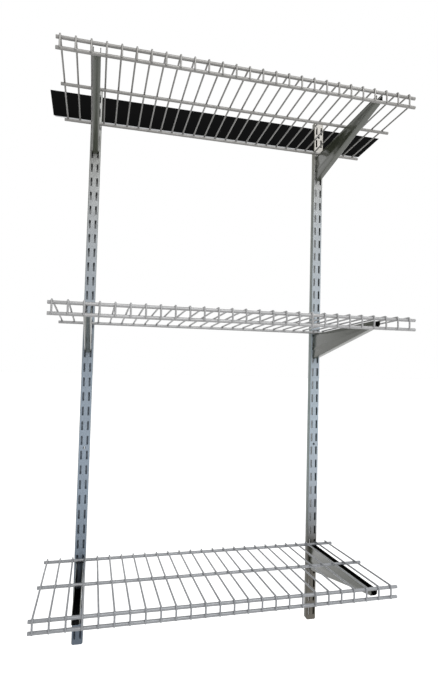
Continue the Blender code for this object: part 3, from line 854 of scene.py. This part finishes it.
def make_screw(number, finish):
    """A wood screw turned about Y, its thread a ridge that winds round the shank.

    The radius at angle a and depth y is the shank's, less the thread's depth times how far
    (y / pitch - a / turn) lies from a whole number, and it closes to a point over the tip. The head is a
    crowned disc with a cross in it, whose depth fades from the cross's arms to nothing.
    """
    node = f"rail_screw_{number}"
    low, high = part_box(node)
    x = (low.x + high.x) / 2
    head = (high.x - low.x) / 2
    crown = low.y
    seat = crown + SCREW_HEAD_HEIGHT
    sides = SCREW_SIDES
    rings = SCREW_CROWN_RINGS
    angle = np.arange(sides) * 2 * np.pi / sides

    share = np.linspace(0, 1, rings + 1)[1:]
    rim = [head, head * SCREW_RIM_SHARE, SCREW_SHANK_RADIUS]
    radius = np.concatenate([head * np.sin(share * np.pi / 2), rim])
    rise = SCREW_HEAD_HEIGHT * SCREW_CROWN_SHARE * (1 - np.cos(share * np.pi / 2))
    depth = np.concatenate([crown + rise, [seat - SCREW_RIM_HEIGHT, seat, seat]])
    radius = np.repeat(radius[:, None], sides, axis=1)
    depth = np.repeat(depth[:, None], sides, axis=1)
    arm = np.abs(np.sin(2 * angle))
    reach = radius[:rings] / head
    inwards = np.clip(1 - reach / SCREW_RECESS_REACH_SHARE, 0, 1)
    cross = inwards * np.clip(1 - arm * reach * SCREW_RECESS_NARROWING, 0, 1)
    depth[:rings] += SCREW_RECESS_DEPTH * np.sqrt(cross)

    plain_end = seat + SCREW_PLAIN_LENGTH
    down = np.linspace(plain_end, high.y - SCREW_POINT_GAP, SCREW_THREAD_RINGS)[:, None]
    phase = down / SCREW_THREAD_PITCH - angle / (2 * np.pi)
    valley = np.clip(np.abs(phase - np.round(phase)) * SCREW_THREAD_SHARPNESS, 0, 1)
    taper = np.clip((high.y - down) / SCREW_TIP, 0, 1)
    fade_in = np.clip((down - plain_end) / SCREW_THREAD_RUN_IN, 0, 1)
    thread = (SCREW_SHANK_RADIUS - SCREW_THREAD_DEPTH * valley * fade_in) * taper
    radius = np.concatenate([radius, thread])
    depth = np.concatenate([depth, np.repeat(down, sides, axis=1)])
    points = np.stack([x + radius * np.cos(angle), depth, radius * np.sin(angle)], -1)

    shape = Shape()
    count = len(radius)
    shape.add(points, quads(count, sides, wrapped=True))
    centre = shape.count
    shape.add([(x, crown + SCREW_RECESS_DEPTH, 0), (x, high.y, 0)], [])
    last = (count - 1) * sides
    shape.faces += [[i, (i + 1) % sides, centre] for i in range(sides)]
    shape.faces += [[last + (i + 1) % sides, last + i, centre + 1] for i in range(sides)]
    mesh = shape.mesh(f"{node}_turned")
    settle(add_piece(f"{node}_turned", mesh, finish, "frame", [node]))


class Finish:
    """A material whose colour, roughness and relief vary with the piece's own coordinates."""

    def __init__(self, name, roughness, metallic, **shader_values):
        self.material = bpy.data.materials.new(name)
        self.material.use_nodes = True
        self.tree = self.material.node_tree
        self.shader = self.tree.nodes["Principled BSDF"]
        self.shader.inputs["Roughness"].default_value = roughness
        self.shader.inputs["Metallic"].default_value = metallic
        for socket, value in shader_values.items():
            self.shader.inputs[socket.replace("_", " ")].default_value = value
        self.place = self.tree.nodes.new("ShaderNodeTexCoord").outputs["Object"]

    def link(self, start, end):
        self.tree.links.new(start, end)

    def drive(self, socket, value):
        """Links a value into one of the shader's inputs."""
        self.link(value, self.shader.inputs[socket])

    def feed(self, value, socket):
        """Links a value that comes from a node, or sets one that doesn't."""
        if isinstance(value, bpy.types.NodeSocket):
            self.link(value, socket)
        else:
            socket.default_value = value

    def marked(self, name):
        """The 0 or 1 that the piece's faces carry in an attribute."""
        node = self.tree.nodes.new("ShaderNodeAttribute")
        node.attribute_name = name
        return node.outputs["Fac"]

    def noise(self, scale, detail=3.0, stretch=None):
        """Smooth noise, stretched where asked."""
        place = self.place
        if stretch:
            mapping = self.tree.nodes.new("ShaderNodeMapping")
            mapping.inputs["Scale"].default_value = stretch
            self.link(self.place, mapping.inputs["Vector"])
            place = mapping.outputs["Vector"]
        node = self.tree.nodes.new("ShaderNodeTexNoise")
        node.inputs["Scale"].default_value = scale
        node.inputs["Detail"].default_value = detail
        self.link(place, node.inputs["Vector"])
        return node.outputs["Fac"]

    def colours(self, value, *stops):
        """A colour that passes through the stops, each a value and its colour."""
        ramp = self.tree.nodes.new("ShaderNodeValToRGB")
        elements = ramp.color_ramp.elements
        while len(elements) < len(stops):
            elements.new(0.5)
        for element, (position, colour) in zip(elements, stops):
            element.position = position
            element.color = (*colour, 1)
        self.link(value, ramp.inputs["Fac"])
        return ramp.outputs["Color"]

    def toned(self, value, dark, light, start=NOISE_LOW, end=NOISE_HIGH):
        """A colour that goes from dark to light as the value goes from start to end."""
        return self.colours(value, (start, dark), (end, light))

    def mixed(self, share, first, second, blend="MIX"):
        """Two colours blended by a share."""
        node = self.tree.nodes.new("ShaderNodeMix")
        node.data_type = "RGBA"
        node.blend_type = blend
        self.feed(share, node.inputs["Factor"])
        self.feed(first, node.inputs["A"])
        self.feed(second, node.inputs["B"])
        return node.outputs["Result"]

    def multiplied(self, first, second):
        return self.mixed(1.0, first, second, "MULTIPLY")

    def ranged(self, value, low, high, start=NOISE_LOW, end=NOISE_HIGH):
        """A number that goes from low to high as the value goes from start to end."""
        node = self.tree.nodes.new("ShaderNodeMapRange")
        node.inputs["From Min"].default_value = start
        node.inputs["From Max"].default_value = end
        node.inputs["To Min"].default_value = low
        node.inputs["To Max"].default_value = high
        self.link(value, node.inputs["Value"])
        return node.outputs["Result"]

    def relief(self, value, depth):
        """Fine bumps as deep as given."""
        node = self.tree.nodes.new("ShaderNodeBump")
        node.inputs["Strength"].default_value = 1.0
        node.inputs["Distance"].default_value = depth
        self.link(value, node.inputs["Height"])
        self.drive("Normal", node.outputs["Normal"])


def grey(tone):
    return (tone, tone, tone)


def deck_coat(level):
    """Baked-on coat over steel: slow mottling, fine flakes, and the low waves of a sprayed film, in a tone for
    each level whose differences are painted light and shade.
    """
    made = Finish(f"deck_{level}_grey", DECK_ROUGHNESS, SATIN_METALLIC, IOR=DECK_IOR)
    # each level's tones carry painted light and shade: the top warmer, the middle paler, the bottom bluer
    base = made.toned(made.noise(MOTTLE_SCALE, detail=4.0), *DECK_TONES_WITH_PAINTED_LIGHT[level])
    flakes = made.noise(FLECK_SCALE, detail=1.0)
    speck = made.toned(flakes, grey(1 - DECK_FLECK), grey(1 + DECK_FLECK), start=FLECK_LOW)
    made.drive("Base Color", made.multiplied(base, speck))
    sheen = [DECK_ROUGHNESS * share for share in DECK_SHEEN_SHARES]
    made.drive("Roughness", made.ranged(made.noise(SHEEN_SCALE), *sheen))
    made.relief(made.noise(PEEL_SCALE, detail=2.0), PEEL_DEPTH)
    return made.material


def bracket_coat():
    """Glossy olive enamel; the faces between the walls are near-black, dull and fully metallic."""
    made = Finish("bracket_olive_grey", OLIVE_ROUGHNESS, 0.0, IOR=OLIVE_IOR)
    inside = made.marked("inside")
    tone = made.toned(made.noise(MOTTLE_SCALE, detail=4.0), *OLIVE_TONES)
    # the faces between the walls are near-black
    made.drive("Base Color", made.mixed(inside, tone, (*INSIDE_NEAR_BLACK_TONE, 1)))
    made.drive("Roughness", made.ranged(inside, OLIVE_ROUGHNESS, INSIDE_ROUGHNESS, start=0.0, end=1.0))
    made.drive("Metallic", inside)
    made.relief(made.noise(PEEL_SCALE, detail=2.0), OLIVE_PEEL_DEPTH)
    return made.material


def upright_coat(side):
    """Grey coat whose painted light, shade and reflection change its tone with height, mottled and flecked, and
    with painted shade on the upright's sides.
    """
    made = Finish(f"upright_{side}_grey", UPRIGHT_ROUGHNESS, SATIN_METALLIC)
    parts = made.tree.nodes.new("ShaderNodeSeparateXYZ")
    made.link(made.place, parts.inputs[0])
    low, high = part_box("upright_left")
    rise = made.ranged(parts.outputs["Z"], 0.0, 1.0, start=low.z, end=high.z)
    stops = [((height - low.z) / (high.z - low.z), tone) for height, tone in UPRIGHT_PAINTED_LIGHT_TONES[side]]
    mottle = made.toned(made.noise(MOTTLE_SCALE, detail=4.0), grey(UPRIGHT_MOTTLE), WHITE)
    fleck = made.toned(made.noise(FLECK_SCALE, detail=1.0), grey(UPRIGHT_FLECK), WHITE, start=FLECK_LOW)
    # the tone by height is painted light, shade and reflection
    base = made.multiplied(made.multiplied(made.colours(rise, *stops), mottle), fleck)
    # painted shade on the faces that look aside
    side_shade = made.mixed(made.marked("side"), (*WHITE, 1), (*UPRIGHT_SIDE_PAINTED_SHADE, 1))
    made.drive("Base Color", made.multiplied(base, side_shade))
    made.drive("Roughness", made.ranged(made.noise(SHEEN_SCALE), *UPRIGHT_SHEEN))
    made.relief(made.noise(PEEL_SCALE, detail=2.0), PEEL_DEPTH)
    return made.material


def cover_plastic():
    """Moulded black plastic with a fine grain and faint long streaks of handling."""
    made = Finish("cover_black_plastic", PLASTIC_ROUGHNESS, 0.0, Specular_IOR_Level=PLASTIC_SPECULAR)
    smear = made.noise(SMEAR_SCALE, detail=4.0, stretch=SMEAR_STRETCH)
    made.drive("Base Color", made.toned(smear, *PLASTIC_TONES, end=PLASTIC_TONES_END))
    made.drive("Roughness", made.ranged(smear, *PLASTIC_SHEEN))
    made.relief(made.noise(GRAIN_SCALE, detail=2.0), GRAIN_DEPTH)
    return made.material


def rail_steel():
    """Zinc-coated strip steel: soft spangle, rolled streaks along its length."""
    made = Finish("rail_zinc_steel", RAIL_ROUGHNESS, RAIL_METALLIC)
    streak = made.noise(STREAK_SCALE, detail=2.0, stretch=STREAK_STRETCH)
    spangle = made.noise(SPANGLE_SCALE, detail=1.0)
    base = made.toned(spangle, *RAIL_TONES, start=FLECK_LOW, end=RAIL_TONES_END)
    made.drive("Base Color", made.multiplied(base, made.toned(streak, *map(grey, RAIL_STREAK))))
    made.drive("Roughness", made.ranged(streak, *RAIL_SHEEN))
    made.relief(streak, STREAK_DEPTH)
    return made.material


def screw_zinc():
    """Plated screw: bright zinc, dulled in patches."""
    made = Finish("screw_bright_zinc", ZINC_ROUGHNESS, 1.0)
    patch = made.noise(PATCH_SCALE)
    made.drive("Base Color", made.toned(patch, *ZINC_TONES))
    made.drive("Roughness", made.ranged(patch, *ZINC_SHEEN))
    made.relief(made.noise(PLATING_SCALE), PLATING_DEPTH)
    return made.material


def make_camera():
    """The photograph's view: heading turns right of +Y, rise tilts up, roll leans the top to the left."""
    data = bpy.data.cameras.new("camera")
    data.lens = CAMERA_LENS
    data.sensor_width = CAMERA_SENSOR
    camera = bpy.data.objects.new("camera", data)
    bpy.context.scene.collection.objects.link(camera)
    turn = (
        Matrix.Rotation(-CAMERA_HEADING, 4, "Z")
        @ Matrix.Rotation(math.pi / 2 + CAMERA_RISE, 4, "X")
        @ Matrix.Rotation(-CAMERA_ROLL, 4, "Z")
    )
    camera.matrix_world = Matrix.Translation(CAMERA_PLACE) @ turn
    bpy.context.scene.camera = camera


def make_lamp(name, place, size, power, colour=WHITE):
    """A flat lamp that faces the middle of the unit."""
    data = bpy.data.lights.new(name, "AREA")
    data.shape = "RECTANGLE"
    data.size, data.size_y = size
    data.energy = power
    data.color = colour
    lamp = bpy.data.objects.new(name, data)
    bpy.context.scene.collection.objects.link(lamp)
    lamp.location = place
    lamp.rotation_mode = "QUATERNION"
    lamp.rotation_quaternion = (Vector(LAMP_TARGET) - Vector(place)).to_track_quat("-Z", "Y")


def mix_where_seen(tree, plain, seen):
    """The seen shader for what the eye sees directly, in gloss or through glass, and the plain one else."""
    path = tree.nodes.new("ShaderNodeLightPath")
    share = path.outputs["Is Camera Ray"]
    for ray in ("Is Glossy Ray", "Is Transmission Ray"):
        either = tree.nodes.new("ShaderNodeMath")
        either.operation = "MAXIMUM"
        tree.links.new(share, either.inputs[0])
        tree.links.new(path.outputs[ray], either.inputs[1])
        share = either.outputs[0]
    mix = tree.nodes.new("ShaderNodeMixShader")
    tree.links.new(share, mix.inputs[0])
    tree.links.new(plain, mix.inputs[1])
    tree.links.new(seen, mix.inputs[2])
    return mix.outputs[0]


def make_world():
    """A soft white light from all sides, in front of plain white where it is seen."""
    world = bpy.data.worlds.new("studio")
    bpy.context.scene.world = world
    world.use_nodes = True
    tree = world.node_tree
    soft = tree.nodes["Background"]
    white = tree.nodes.new("ShaderNodeBackground")
    for shader, strength in ((soft, WORLD_LIGHT), (white, 1.0)):
        shader.inputs["Color"].default_value = (*WHITE, 1)
        shader.inputs["Strength"].default_value = strength
    mixed = mix_where_seen(tree, soft.outputs[0], white.outputs[0])
    tree.links.new(mixed, tree.nodes["World Output"].inputs["Surface"])


def make_floor(height):
    """A pale floor that keeps a faint shadow: mostly plain white where it is seen, the rest lit."""
    shape = Shape()
    edge = FLOOR_SIZE / 2
    corners = ((-edge, -edge), (edge, -edge), (edge, edge), (-edge, edge))
    shape.polygon([(x, y, height) for x, y in corners])
    mesh = shape.mesh("floor")
    floor = bpy.data.objects.new("floor", mesh)
    bpy.context.scene.collection.objects.link(floor)
    pale = bpy.data.materials.new("floor_pale")
    pale.use_nodes = True
    tree = pale.node_tree
    shader = tree.nodes["Principled BSDF"]
    shader.inputs["Base Color"].default_value = (*grey(FLOOR_TONE), 1)
    shader.inputs["Roughness"].default_value = FLOOR_ROUGHNESS
    glow = tree.nodes.new("ShaderNodeEmission")
    glow.inputs["Color"].default_value = (*WHITE, 1)
    glow.inputs["Strength"].default_value = FLOOR_GLOW
    both = tree.nodes.new("ShaderNodeAddShader")
    tree.links.new(shader.outputs[0], both.inputs[0])
    tree.links.new(glow.outputs[0], both.inputs[1])
    mixed = mix_where_seen(tree, shader.outputs[0], both.outputs[0])
    tree.links.new(mixed, tree.nodes["Material Output"].inputs["Surface"])
    mesh.materials.append(pale)


def make_stage():
    """The floor, the light and the view transform."""
    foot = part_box("upright_left")[0].z
    make_floor(foot - FLOOR_BELOW_FEET)
    make_world()
    make_lamp("key", KEY_LAMP_PLACE, KEY_LAMP_SIZE, KEY_LAMP_POWER)
    make_lamp("side", SIDE_LAMP_PLACE, SIDE_LAMP_SIZE, SIDE_LAMP_POWER, SIDE_LAMP_COLOUR)
    bpy.context.scene.view_settings.view_transform = "Standard"


def main():
    """Camera and stage first, then the pieces from the decks to the screws."""
    make_camera()
    make_stage()
    olive = bracket_coat()
    for level in LEVELS:
        make_deck(level, deck_coat(level))
        for side in SIDES:
            make_bracket(level, side, olive)
    for side in SIDES:
        make_upright(side, upright_coat(side))
    make_rail(rail_steel())
    make_cover(cover_plastic())
    zinc = screw_zinc()
    for number in SCREW_NUMBERS:
        make_screw(number, zinc)


main()
